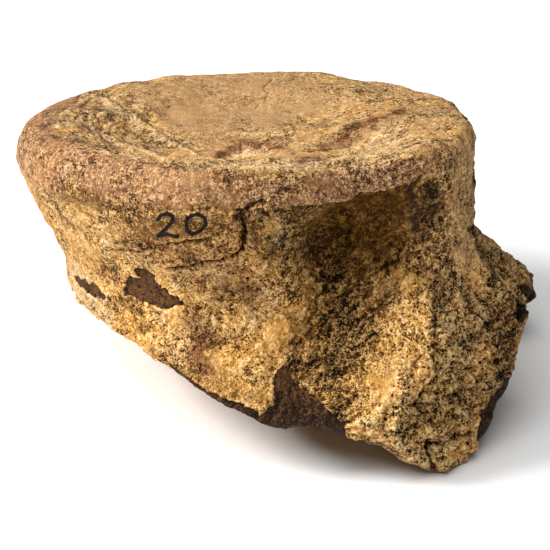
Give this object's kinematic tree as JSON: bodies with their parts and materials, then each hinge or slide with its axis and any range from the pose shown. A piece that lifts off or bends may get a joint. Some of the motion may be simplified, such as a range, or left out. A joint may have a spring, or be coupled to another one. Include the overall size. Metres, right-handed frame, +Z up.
{
  "type": "fossil whale vertebra",
  "caption": "Still model of a fossil whale vertebra: a waisted drum-shaped centrum with a dished face, a broad rim, a broken lower corner and the broken stubs of its neural arch.",
  "frame": {"origin": "centre of the bounding box's lowest face, on the surface that the bone rests on", "axes": "+Z up; +X towards the broken arch (dorsal), +Y towards the animal's left side; the centrum's axis leans about 9 degrees from +Z"},
  "size_m": [0.2542, 0.2096, 0.1466],
  "materials": {
    "bone": "dry porous mineral-filled bone, ochre to brown, with dark iron-stained flakes"
  },
  "bodies": {
    "root": {"centrum": "bone", "caudal_end_plate": "bone", "cranial_end_plate": "bone", "arch_stub_right": "bone", "arch_stub_left": "bone"}
  },
  "joints": []
}
